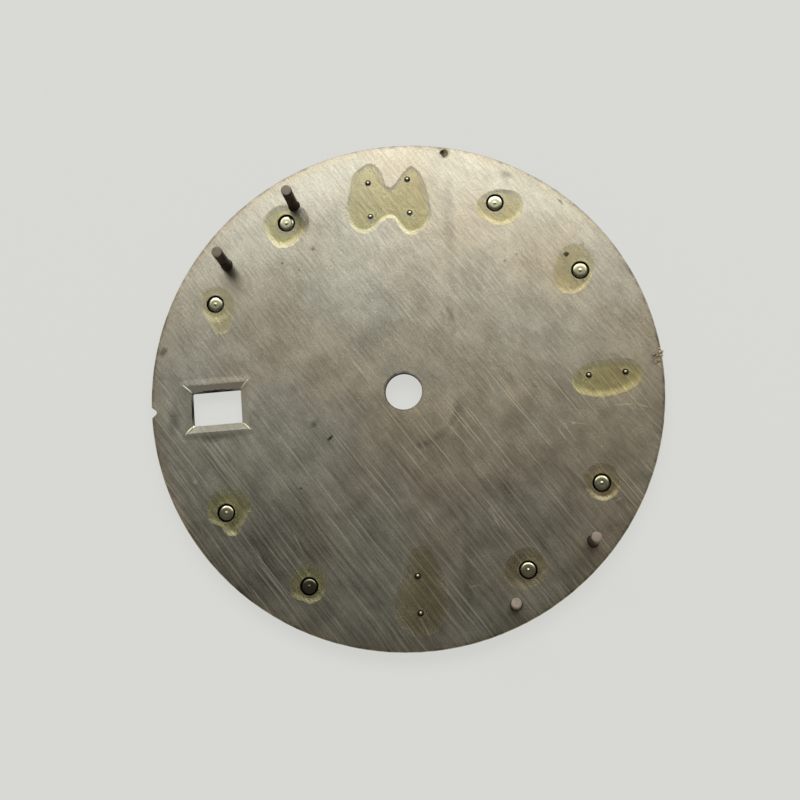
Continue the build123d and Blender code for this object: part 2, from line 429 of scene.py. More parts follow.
def add_marks(add: NodeAdder, place: bpy.types.Node, base: Any, marks: tuple[Mark, ...]) -> Any:
    """Adds every mark's tone to a value.

    Args:
        add: Function that adds a node to the material.
        place: Place in millimetres.
        base: Value so far.
        marks: The marks.

    Returns:
        The value with the marks.
    """
    for mark in marks:
        turn = (0.0, 0.0, math.radians(mark.turn_degrees))
        size = (mark.half_length, mark.half_width, FAR)
        local = add("Mapping", place, (mark.x, mark.y, 0.0), turn, size, vector_type="TEXTURE")
        way = add("VectorMath", local, operation="LENGTH")
        base = add("Math", base, add("MapRange", way, 1.0, 1.0 - mark.soft_share, 0.0, mark.tone))
    return base


@dataclass(frozen=True)
class BrushedSilvering:
    """Silver-plated brass, rubbed by hand with fine abrasive paper and aged.

    It reads as a warm grey satin metal with a fine grain, faint strokes and sparse bright scratches from
    upper left to lower right, clouds of tarnish and a browner rim. The scratches are real wear, painted
    brighter as a glint, and the walls of its openings are painted dark as painted shade.
    Real strokes are a few hundredths of a millimetre apart, too fine to show, so they are drawn coarser.

    A stroke has its length, its spacing and its detail. An even noise has its cells per millimetre, its
    detail and the weight of each octave. A swing is how far a noise moves the tone. A span takes a value
    from its first number to its second onto 0 to 1, or onto its third number to its fourth.
    """

    marks: tuple[Mark, ...]
    pit: Mark
    tone: str = "CFCBB8"
    brown_tone: str = "CCC0A6"
    wall_shade_tone: str = "221E12"
    pit_dirt_and_lit_facet_tones: tuple[str, str] = ("3F3528", "9C876A")
    roughness: float = 0.26
    roughness_swing: float = 0.02
    stroke_angle_degrees: float = -56.0
    crossing_degrees: float = 9.0
    stroke: Triple = (5.0, 0.16, 2.0)
    hairline: Triple = (0.8, 0.055, 1.0)
    streak: Triple = (0.9, 0.15, 1.0)
    scratch: Triple = (7.0, 0.1, 0.0)
    crossing_scratch: Triple = (2.6, 0.2, 0.0)
    grain: Triple = (1 / 0.11, 1.0, 0.7)
    clouds: Triple = (0.55, 5.0, 0.6)
    soil: Triple = (0.9, 4.0, 0.65)
    rubbing: Triple = (0.16, 1.0, 0.5)
    browning: Triple = (0.12, 3.0, 0.5)
    wander_per_mm: float = 0.12
    wander_reach: float = 0.4
    ruffle_per_mm: float = 3.0
    ruffle_reach: float = 0.16
    stroke_swing: float = 0.07
    hairline_swing: float = 0.04
    grain_swing: float = 0.09
    streak_swing: float = 0.075
    cloud_swing: float = 0.06
    tone_limits: Pair = (0.08, 1.5)
    # Where the strokes are heavier and the scratches are painted brighter, a painted glint, towards 6 o'clock
    six_span: Pair = (7.0, -7.0)
    glint: float = 0.3
    glint_at_six: float = 0.5
    heavier_lean: float = 0.3
    heavier_span: Quad = (3.0, -10.5, 0.5, 2.5)
    slope_span: Quad = (0.97, 0.93, 1.0, 0.25)
    # Where the metal is rubbed, and which of the noise in there is a scratch or a scar
    rubbed_at_six: float = 0.16
    rubbed_span: Pair = (0.4, 0.68)
    scratch_span: Pair = (0.64, 0.78)
    scar_span: Quad = (0.38, 0.24, 0.0, -0.25)
    crossing_span: Pair = (0.74, 0.86)
    rub_patches: tuple[Mark, ...] = (
        Mark(-8.0, 3.0, 6.5, 5.0, 0, -0.45, 0.6),
        Mark(-4.0, -7.0, 5.5, 3.6, 0, 0.4, 0.6),
        Mark(9.0, 3.5, 5.0, 4.5, 0, -0.25, 0.6),
        Mark(10.5, -4.0, 4.0, 3.5, 0, -0.2, 0.6),
    )
    # Where the metal is browner, and the soil at the rim
    browned_span: Pair = (0.35, 0.7)
    browned_side_span: Quad = (-10.0, 10.0, -0.35, 0.15)
    brown_patch: Mark = Mark(0.5, 1.0, 9.0, 4.5, 0, 0.5, 0.7)
    brown_rim_span: Quad = (13.4, 14.2, 0.0, 0.7)
    soil_span: Quad = (0.42, 0.62, 0.06, 0.5)
    soiled_rim_span: Pair = (RIM_RADIUS - 0.22, RIM_RADIUS - 0.02)
    # Where a face counts as the wall of an opening, and the middle of the pit's two tones
    wall_span: Pair = (0.8, 0.5)
    inside_span: Pair = (RIM_RADIUS - 0.1, RIM_RADIUS - 0.3)
    pit_blend: float = 0.08
    relief_height: float = 0.00005
    lip_height: float = 0.006
    lip_width: float = 0.4

    def drawn_out(self, add: NodeAdder, place: bpy.types.Node, stroke: Triple) -> bpy.types.Node:
        """Adds a stroke's noise, drawn out along the first axis."""
        stretched = add("Mapping", place, Scale=(1 / stroke[0], 1 / stroke[1], 0.0))
        return add("TexNoise", stretched, 1.0, stroke[2])

    def shaken(self, add: NodeAdder, place: bpy.types.Node, per_mm: float, reach: float) -> bpy.types.Node:
        """Shifts a place over the plate by noise, so that what is drawn there has uneven lines.

        Args:
            add: Function that adds a node to the material.
            place: Place in millimetres.
            per_mm: Cells of the noise in a millimetre.
            reach: Greatest shift, from one end to the other.

        Returns:
            The shifted place.
        """
        shake = add("TexNoise", place, per_mm).outputs["Color"]
        shake = add("VectorMath", shake, MIDDLE, operation="SUBTRACT")
        return add("VectorMath", shake, (reach, reach, 0.0), place, operation="MULTIPLY_ADD")

    def lip(self, add: NodeAdder, place: bpy.types.Node) -> bpy.types.Node:
        """Adds the low lip that coining raised round the window: highest at the funnel, gone one width away.

        Args:
            add: Function that adds a node to the material.
            place: Place in millimetres.

        Returns:
            Height of the lip between 0 and 1.
        """
        away = add("VectorMath", place, (*WINDOW_CENTRE, 0.0), operation="SUBTRACT")
        away = add("VectorMath", away, operation="ABSOLUTE")
        past = add("VectorMath", away, (*FUNNEL_HALF_SIZE, FAR), operation="SUBTRACT")
        past = add("VectorMath", past, (0.0, 0.0, 0.0), operation="MAXIMUM")
        return add("MapRange", add("VectorMath", past, operation="LENGTH"), 0.0, self.lip_width, 1.0, 0.0)

    def scratches(
        self, add: NodeAdder, place: bpy.types.Node, turned: bpy.types.Node, towards_six: bpy.types.Node
    ) -> bpy.types.Node:
        """Adds the scratches: long bright ones, short ones across them and dark scars, in rubbed areas only.

        Args:
            add: Function that adds a node to the material.
            place: Place in millimetres.
            turned: Place turned so that the strokes run along its first axis.
            towards_six: How far a place is towards 6 o'clock, from 0 to 1.

        Returns:
            Strength of the scratches, negative in a scar.
        """
        rubbed = add("TexNoise", place, *self.rubbing)
        rubbed = add("Math", towards_six, self.rubbed_at_six, rubbed, operation="MULTIPLY_ADD")
        rubbed = add("MapRange", add_marks(add, place, rubbed, self.rub_patches), *self.rubbed_span)
        crossed = add("Mapping", turned, Rotation=(0.0, 0.0, math.radians(self.crossing_degrees)))
        long_ones = self.drawn_out(add, turned, self.scratch)
        short_ones = self.drawn_out(add, crossed, self.crossing_scratch)
        bright = add("MapRange", long_ones, *self.scratch_span)
        scars = add("MapRange", long_ones, *self.scar_span)
        crossing = add("MapRange", short_ones, *self.crossing_span)
        every = add("Math", add("Math", bright, scars), crossing)
        return add("Math", every, rubbed, operation="MULTIPLY")

    def build(self) -> bpy.types.Material:
        """Makes the material.

        The metal's colour is scaled by a tone: one, plus every pattern's swing and the scratches' painted
        glint, which is weak on the coined slopes, plus the marks, some of them painted shade, less the soil
        at the rim.

        Returns:
            The material.
        """
        material, add = new_material("brushed_silvered_brass")
        place = add("Mapping", add("TexCoord").outputs["Object"], Scale=MM_SCALE)
        x, y, _ = add("SeparateXYZ", place).outputs
        facing = add("SeparateXYZ", add("NewGeometry").outputs["True Normal"]).outputs["Z"]
        level = add("Math", facing, operation="ABSOLUTE")
        towards_six = add("MapRange", y, *self.six_span)
        wandering = self.shaken(add, place, self.wander_per_mm, self.wander_reach)
        ruffled = self.shaken(add, place, self.ruffle_per_mm, self.ruffle_reach)
        radius = add("VectorMath", add("VectorMath", ruffled, FLAT, operation="MULTIPLY"), operation="LENGTH")
        turned = add("Mapping", wandering, Rotation=(0.0, 0.0, math.radians(-self.stroke_angle_degrees)))
        strokes = self.drawn_out(add, turned, self.stroke)
        hairlines = self.drawn_out(add, turned, self.hairline)
        streaks = self.drawn_out(add, turned, self.streak)
        scratches = self.scratches(add, place, turned, towards_six)
        grain = add("TexNoise", place, *self.grain)
        clouds = add("TexNoise", place, *self.clouds)

        upwards = add("Math", x, self.heavier_lean, y, operation="MULTIPLY_ADD")
        heavier = add("MapRange", upwards, *self.heavier_span)
        swing = add("MapRange", strokes, *NOISE_SPAN, -self.stroke_swing, self.stroke_swing)
        pattern = add("Math", swing, heavier, operation="MULTIPLY")
        others = (
            (hairlines, self.hairline_swing),
            (grain, self.grain_swing),
            (streaks, self.streak_swing),
            (clouds, self.cloud_swing),
        )
        for noise, reach in others:
            pattern = add("Math", pattern, add("MapRange", noise, *NOISE_SPAN, -reach, reach))
        # Painted glint: the scratches lighten the colour, more towards 6 o'clock
        glint = add("Math", towards_six, self.glint_at_six, self.glint, operation="MULTIPLY_ADD")
        pattern = add("Math", scratches, glint, pattern, operation="MULTIPLY_ADD")
        left_on_slopes = add("MapRange", level, *self.slope_span)
        tone = add("Math", pattern, left_on_slopes, 1.0, operation="MULTIPLY_ADD")
        tone = add_marks(add, ruffled, tone, self.marks)
        soil = add("MapRange", add("TexNoise", place, *self.soil), *self.soil_span)
        soil = add("Math", soil, add("MapRange", radius, *self.soiled_rim_span), operation="MULTIPLY")
        tone = add("Math", tone, soil, operation="SUBTRACT")
        tone = add("Math", tone, self.tone_limits[0], operation="MAXIMUM")
        tone = add("Math", tone, self.tone_limits[1], operation="MINIMUM")

        browned = add("MapRange", add("TexNoise", place, *self.browning), *self.browned_span)
        browned = add("Math", browned, add("MapRange", x, *self.browned_side_span))
        browned = add_marks(add, place, browned, (self.brown_patch,))
        brown_rim = add("MapRange", radius, *self.brown_rim_span)
        browned = add("Math", browned, brown_rim, operation="MAXIMUM")
        metal = add("Mix", browned, srgb(self.tone), srgb(self.brown_tone))
        colour = add("VectorMath", metal, tone, operation="SCALE")
        smoothest = self.roughness - self.roughness_swing
        roughest = self.roughness + self.roughness_swing
        roughness = add("MapRange", clouds, *NOISE_SPAN, smoothest, roughest)
        relief = add("Math", add("Math", hairlines, strokes), scratches)
        fine = add("Bump", Distance=self.relief_height * METRES_PER_MM, Height=relief)
        lip = self.lip(add, place)
        normal = add("Bump", Distance=self.lip_height * METRES_PER_MM, Height=lip, Normal=fine)
        plated = add("BsdfPrincipled", colour, 1.0, roughness, Normal=normal)

        # Painted shade: upright walls inside the rim get a near-black diffuse colour in place of the metal
        upright = add("MapRange", level, *self.wall_span)
        inside = add("MapRange", radius, *self.inside_span)
        walls = add("Math", upright, inside, operation="MULTIPLY")
        surface = add("MixShader", walls, plated, add("BsdfDiffuse", srgb(self.wall_shade_tone)))
        # The pit: a soiled dark brown side, and a tan facet on the other side painted as lit, a painted
        # highlight
        across_pit = add("MapRange", x, self.pit.x - self.pit_blend, self.pit.x + self.pit_blend)
        pit_dirt_and_lit_facet = add("Mix", across_pit, *(srgb(tone) for tone in self.pit_dirt_and_lit_facet_tones))
        in_pit = add_marks(add, ruffled, 0.0, (self.pit,))
        add("OutputMaterial", add("MixShader", in_pit, surface, add("BsdfDiffuse", pit_dirt_and_lit_facet)))
        return material


@dataclass(frozen=True)
class TurnedMetal:
    """Plated brass, turned on a lathe and polished.

    It reads as a bright, slightly yellow mirror with faint rings where the tool went round. In the plate's
    holes it is painted black, partly old lacquer and partly painted shade of the gap round the stud or foot:
    between the flank levels, all that is upright and all that lies below the sunk level. What shows on the
    back is darker by the painted shade, which makes a shaded copy of the metal. The rings lie along the
    piece's own map, whose v is the way along the turned section.
    """

    name: str = "turned_polished_metal"
    tone: str = "D3D0B0"
    worn_tone: str = "AAA47F"
    flank_lacquer_and_shade_tone: str = "221E12"
    flank_levels: Pair = (-0.452, 0.11)
    sunk_level: float = -0.11
    upright_span: Pair = (0.66, 0.5)
    fade: float = 0.01
    roughness: float = 0.18
    worn_roughness: float = 0.12
    wear: Triple = (2.2, 3.0, 0.5)
    wear_span: Pair = (0.4, 0.75)
    ring_length: float = 2.0
    ring_spacing: float = 0.02
    ring_height: float = 0.0002
    painted_shade: float = 0.0
    painted_shade_fade: float = 0.1

    def build(self) -> bpy.types.Material:
        """Makes the material.

        Returns:
            The material.
        """
        material, add = new_material(self.name)
        place = add("Mapping", add("TexCoord").outputs["Object"], Scale=MM_SCALE)
        height = add("SeparateXYZ", place).outputs["Z"]
        facing = add("SeparateXYZ", add("NewGeometry").outputs["True Normal"]).outputs["Z"]
        wear = add("MapRange", add("TexNoise", place, *self.wear), *self.wear_span)
        colour = add("Mix", wear, srgb(self.tone), srgb(self.worn_tone))
        low, high = self.flank_levels
        # Painted shade: what shows on the back is made darker by the painted shade
        left_bright = add("MapRange", height, low, low + self.painted_shade_fade, 1.0, 1.0 - self.painted_shade)
        colour = add("VectorMath", colour, left_bright, operation="SCALE")
        roughness = add("MapRange", wear, 0.0, 1.0, self.roughness, self.roughness + self.worn_roughness)
        rings = add("UVMap", uv_map="surface_map")
        rings = add("Mapping", rings, Scale=(1 / self.ring_length, 1 / self.ring_spacing, 1.0))
        rings = add("TexNoise", rings, 1.0, 1.0)
        normal = add("Bump", Distance=self.ring_height * METRES_PER_MM, Height=rings)
        polished = add("BsdfPrincipled", colour, 1.0, roughness, Normal=normal)
        # Old lacquer and painted shade: upright and sunk faces in the holes get a black diffuse colour
        upright = add("MapRange", facing, *self.upright_span)
        sunk = add("MapRange", height, self.sunk_level, self.sunk_level - self.fade)
        between = add("Math", height, (low + high) / 2, (high - low) / 2, operation="COMPARE")
        black = add("Math", upright, sunk, operation="MAXIMUM")
        black = add("Math", black, between, operation="MULTIPLY")
        add("OutputMaterial", add("MixShader", black, polished, add("BsdfDiffuse", srgb(self.flank_lacquer_and_shade_tone))))
        return material


# Flank levels below the whole dial, for a metal that stands in no hole
NO_FLANK = (-2.0, -1.9)


@dataclass(frozen=True)
class TarnishedCopper:
    """Drawn copper wire that has gone dark, with cut ends that were filed bright.

    It reads as a dull brown metal, blotched with tarnish, with a painted shade that deepens it towards the
    plate, and a paler end.
    """

    side_tone: str = "715F50"
    dark_tone: str = "2E251E"
    end_tone: str = "9C9081"
    roughness: float = 0.42
    dark_roughness: float = 0.15
    metallic: float = 0.85
    end_level: float = 2.8
    end_fade: float = 0.05
    end_span: Pair = (0.3, 0.8)
    blotches: Triple = (3.0, 3.0, 0.5)
    blotch_span: Pair = (0.35, 0.7)
    base_shade_span: Quad = (2.2, 0.4, 0.0, 0.85)
    grain_per_mm: float = 12.0
    grain_height: float = 0.004

    def build(self) -> bpy.types.Material:
        """Makes the material.

        Returns:
            The material.
        """
        material, add = new_material("tarnished_copper_wire")
        place = add("Mapping", add("TexCoord").outputs["Object"], Scale=MM_SCALE)
        height = add("SeparateXYZ", place).outputs["Z"]
        facing = add("SeparateXYZ", add("NewGeometry").outputs["True Normal"]).outputs["Z"]
        dark = add("MapRange", add("TexNoise", place, *self.blotches), *self.blotch_span)
        # Painted shade: the blotches' share rises towards the post's base on the plate
        dark = add("Math", dark, add("MapRange", height, *self.base_shade_span), operation="MAXIMUM")
        colour = add("Mix", dark, srgb(self.side_tone), srgb(self.dark_tone))
        near_end = add("MapRange", height, self.end_level - self.end_fade, self.end_level)
        filed = add("Math", add("MapRange", facing, *self.end_span), near_end, operation="MULTIPLY")
        colour = add("Mix", filed, colour, srgb(self.end_tone))
        roughness = add("MapRange", dark, 0.0, 1.0, self.roughness, self.roughness + self.dark_roughness)
        grain = add("TexNoise", place, self.grain_per_mm)
        normal = add("Bump", Distance=self.grain_height * METRES_PER_MM, Height=grain)
        add("OutputMaterial", add("BsdfPrincipled", colour, self.metallic, roughness, Normal=normal))
        return material


class LacquerState(Enum):
    """How a drop of fixing lacquer has aged."""

    CLOUDY = "cloudy"
    YELLOWED = "yellowed"
    CLEAR = "clear"


@dataclass(frozen=True)
class FixingLacquer:
    """Shellac lacquer, dropped on from a needle and yellowed with age.

    It reads as a glossy bead that bends what lies under it, clear where its skin slopes to its thin edge
    and yellower where it is thick. A drop that isn't wholly clear scatters a little light as well.
    """

    state: LacquerState
    film_tone: str
    depth_tone: str
    density_per_metre: float
    clearness: float
    roughness: float
    thin_tone: str = "FFFEF8"
    refraction: float = 1.5
    level_span: Pair = (0.955, 0.996)
    ripples_per_mm: float = 1.6
    ripple_height: float = 0.003

    def build(self) -> bpy.types.Material:
        """Makes the material.

        Returns:
            The material.
        """
        material, add = new_material(f"fixing_lacquer_{self.state.value}")
        place = add("Mapping", add("TexCoord").outputs["Object"], Scale=MM_SCALE)
        facing = add("SeparateXYZ", add("NewGeometry").outputs["True Normal"]).outputs["Z"]
        level = add("MapRange", add("Math", facing, operation="ABSOLUTE"), *self.level_span)
        colour = add("Mix", level, srgb(self.thin_tone), srgb(self.film_tone))
        ripples = add("TexNoise", place, self.ripples_per_mm)
        normal = add("Bump", Distance=self.ripple_height * METRES_PER_MM, Height=ripples)
        shader = add("BsdfPrincipled", colour, Roughness=self.roughness, IOR=self.refraction, Normal=normal)
        shader.inputs["Transmission Weight"].default_value = self.clearness
        depth = add("VolumeAbsorption", srgb(self.depth_tone), self.density_per_metre)
        add("OutputMaterial", shader, depth)
        return material


@dataclass(frozen=True)
class PaintedFinish:
    """A thin opaque coat with a fine grain: dial paint, printing ink, luminous paint or charred lacquer."""

    name: str
    tone: str
    second_tone: str
    roughness: float
    grain_per_mm: float
    grain_height: float
    coat: float = 0.0
    grain_detail: Pair = (3.0, 0.6)

    def build(self) -> bpy.types.Material:
        """Makes the material.

        Returns:
            The material.
        """
        material, add = new_material(self.name)
        place = add("Mapping", add("TexCoord").outputs["Object"], Scale=MM_SCALE)
        grain = add("TexNoise", place, self.grain_per_mm, *self.grain_detail)
        share = add("MapRange", grain, *NOISE_SPAN)
        colour = add("Mix", share, srgb(self.tone), srgb(self.second_tone))
        normal = add("Bump", Distance=self.grain_height * METRES_PER_MM, Height=grain)
        shader = add("BsdfPrincipled", colour, Roughness=self.roughness, Normal=normal)
        shader.inputs["Coat Weight"].default_value = self.coat
        add("OutputMaterial", shader)
        return material


# Sub-assemblies


@dataclass
class DialPlate:
    """The plate itself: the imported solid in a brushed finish, with the small forms that stand on it."""

    opening_half_size: Pair = (1.38, 0.94)
    funnel_depth: float = 0.2
    ridge_half_width: float = 0.058
    ridge_height: float = 0.045
    ridge_depth: float = 0.13
    ridge_overrun: float = 0.1
    ridge_start_share: float = 0.4
    ridge_end_power: float = 0.6
    ridge_steps: int = 16
    paint: PaintedFinish = PaintedFinish("satin_black_dial_paint", "15161A", "1B1C20", 0.42, 9.0, 0.0015, 0.3)
    ink: PaintedFinish = PaintedFinish("printed_white_ink", "E2E2DA", "D6D6CE", 0.6, 14.0, 0.002)
    coined_edge: TurnedMetal = TurnedMetal(
        "coined_bright_edge", "FAF4E0", "E4DABF", flank_levels=NO_FLANK, roughness=0.45
    )
    torn_edge: TurnedMetal = TurnedMetal(
        "torn_edge", "C9B99B", "8F7C60", flank_levels=NO_FLANK, roughness=0.4
    )
    # Each crumb of the burr has its place and half length, and its width and height are shares of that
    crumb_width_share: float = 0.8
    crumb_height_share: float = 0.5
    crumb_phase_per_mm: float = 9.0
    burr_crumbs: tuple[Quad, ...] = (
        (14.17, 0.93, 0.0, 0.14),
        (14.2, 0.74, -0.03, 0.09),
        (14.0, 0.46, 0.02, 0.13),
        (13.88, 0.36, 0.01, 0.09),
        (13.8, 0.8, 0.01, 0.1),
        (13.98, 0.72, 0.0, 0.08),
        (13.72, 0.55, 0.0, 0.06),
        (14.12, 1.12, 0.0, 0.07),
        (14.16, 0.42, -0.01, 0.07),
    )
    pit: Mark = Mark(3.34, 13.5, 0.25, 0.25, 0, 0.9, 0.25)
    marks: tuple[Mark, ...] = (
        # Broad areas
        Mark(-8.6, -8.4, 5.6, 4.2, -45, -0.3, 1.0),
        Mark(-6.5, 5.6, 5.5, 3.2, 30, -0.16, 1.0),
        Mark(1.5, -1.5, 4.5, 2.5, 20, 0.08, 1.0),
        Mark(0.0, -12.6, 4.0, 1.4, 0, -0.06, 1.0),
        Mark(-3.6, 10.3, 3.2, 2.2, 0, -0.13, 1.0),
        Mark(12.4, 4.6, 2.0, 2.8, 0, -0.12, 1.0),
        Mark(0.5, 5.2, 4.6, 1.6, 0, -0.1, 1.0),
        Mark(5.4, -6.2, 2.4, 1.6, -20, -0.2),
        # Painted shade along the window's edges towards 12 and towards the rim, below the funnel, beside it
        # towards the rim and round the centre hole; a darker ring round the pit
        Mark(-10.53, 0.98, 1.44, 0.065, 0, -0.9, 0.5),
        Mark(-11.95, 0.0, 0.98, 0.06, 90, -0.9, 0.5),
        Mark(-10.6, -1.72, 1.4, 0.32, 3, -0.4),
        Mark(-13.0, -0.5, 1.5, 0.5, 85, -0.3),
        Mark(-0.03, 0.04, 1.13, 1.13, 0, -0.6, 0.1),
        Mark(3.34, 13.5, 0.42, 0.36, 10, -0.4, 0.5),
        # A long smear from 12 to 6
        Mark(3.25, 9.0, 4.5, 0.5, 88, -0.17),
        Mark(3.0, -1.5, 3.2, 0.45, 87, -0.2),
        Mark(2.75, -9.6, 4.0, 0.4, 87, -0.2),
        # Smudges round the middle
        Mark(-1.8, 3.35, 1.3, 1.0, 30, -0.2),
        Mark(-0.4, 3.6, 1.1, 0.8, -20, -0.16),
        Mark(2.62, -1.75, 0.9, 0.3, 62, -0.34),
        Mark(1.85, -2.55, 0.8, 0.34, 38, -0.3),
        Mark(0.9, -3.05, 0.85, 0.3, 15, -0.3),
        Mark(2.95, 4.1, 0.8, 0.3, -75, -0.34),
        Mark(2.5, 4.1, 0.5, 0.2, -80, -0.26),
        Mark(3.05, 3.2, 0.5, 0.2, 80, -0.14),
        # Marks at the feet's bases, partly stain and partly painted shadow and reflection of the posts, and
        # stains towards the rim
        Mark(-9.25, 7.75, 0.75, 0.5, -60, -0.45),
        Mark(-5.22, 11.02, 0.5, 0.34, -60, -0.42),
        Mark(4.9, -12.4, 0.6, 0.4, 60, -0.3),
        Mark(13.85, 0.6, 0.55, 0.4, 80, -0.35, 0.8),
        Mark(13.95, 0.35, 0.35, 0.12, -60, 0.5),
        Mark(-13.41, 3.46, 0.42, 0.32, 45, -0.6),
        Mark(-12.9, 2.2, 1.1, 0.8, 80, -0.12),
        Mark(6.7, 11.9, 0.5, 0.3, -40, -0.35),
        Mark(9.6, 10.0, 0.35, 0.1, -50, -0.5),
        # Specks
        Mark(-4.52, 8.67, 0.2, 0.18, 0, -0.55),
        Mark(-6.32, 7.97, 0.09, 0.08, 0, -0.8),
        Mark(-5.39, 7.47, 0.09, 0.08, 0, -0.8),
        Mark(-4.24, -2.26, 0.3, 0.12, 35, -0.95),
        Mark(-5.1, -1.4, 0.35, 0.25, 35, -0.4),
        Mark(-6.08, -4.91, 0.14, 0.12, 0, -0.7),
        Mark(-11.95, -4.07, 0.16, 0.14, 0, 0.7),
        Mark(9.11, -2.55, 0.14, 0.12, 0, 0.7),
        Mark(10.55, 7.4, 0.2, 0.2, 0, -0.2),
        Mark(6.9, 7.2, 0.1, 0.1, 0, -0.6),
        Mark(6.2, 6.9, 0.14, 0.08, 30, -0.5),
        # Single scratches, painted bright as a glint
        Mark(2.95, -10.95, 0.5, 0.06, 8, 0.6),
        Mark(11.9, -1.76, 0.7, 0.05, -4, 0.7),
        Mark(13.0, -1.95, 0.55, 0.05, -20, 0.7),
        Mark(11.1, -6.9, 0.4, 0.07, 20, 0.5),
        Mark(11.55, -7.3, 0.5, 0.07, -65, 0.5),
        Mark(9.4, -2.6, 0.9, 0.05, -15, 0.4),
        Mark(8.8, -2.9, 0.8, 0.05, -60, 0.4),
    )

    def ridge(self, side_x: float, side_y: float) -> FloatArray:
        """Builds the bright ridge that coining left along one mitre of the funnel.

        The path is a straight line from above the opening's corner to the funnel's corner. Round it goes
        half an ellipse above and a deeper half below, whose size follows the sine of the way along to the
        ends' power, so both ends close.

        Args:
            side_x: -1 or 1, the corner's side along X.
            side_y: -1 or 1, the corner's side along Y.

        Returns:
            A closed grid of points.
        """
        sides = np.array([side_x, side_y])
        inner = np.array(WINDOW_CENTRE) + sides * np.array(self.opening_half_size)
        outer = np.array(WINDOW_CENTRE) + sides * (np.array(FUNNEL_HALF_SIZE) + self.ridge_overrun)
        start = np.array([*inner, -self.ridge_start_share * self.funnel_depth])
        end = np.array([*outer, 0.0])
        way = np.linspace(0, 1, self.ridge_steps + 1)[:, None, None]
        angle = np.linspace(0, 2 * np.pi, self.ridge_steps + 1)[None, :, None]
        along = (end - start) / np.linalg.norm(end - start)
        across = np.array([-along[1], along[0], 0.0]) / np.hypot(along[0], along[1])
        upwards = np.cross(along, across)
        upwards = upwards * np.sign(upwards[2])
        tall = np.where(np.sin(angle) > 0, self.ridge_height, self.ridge_depth)
        offset = across * self.ridge_half_width * np.cos(angle) + upwards * tall * np.sin(angle)
        return start + (end - start) * way + offset * np.sin(np.pi * way) ** self.ridge_end_power

    def build(self, nodes: dict[str, bpy.types.Object]) -> None:
        """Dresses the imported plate, paint and printing, and adds the ridges and the burr.

        Args:
            nodes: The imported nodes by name.
        """
        dress(nodes["dial_plate"], BrushedSilvering(self.marks, self.pit).build())
        dress(nodes["face_paint"], self.paint.build())
        dress(nodes["minute_track"], self.ink.build())
        ridges = [self.ridge(x, y) for x in (-1.0, 1.0) for y in (-1.0, 1.0)]
        make_piece("window_funnel_ridges", ridges, self.coined_edge.build())
        shares = np.array([1.0, self.crumb_width_share, self.crumb_height_share])
        phases = self.crumb_phase_per_mm
        crumbs = [lump((x, y, z), size * shares, phases * x) for x, y, z, size in self.burr_crumbs]
        make_piece("rim_burr", crumbs, self.torn_edge.build())


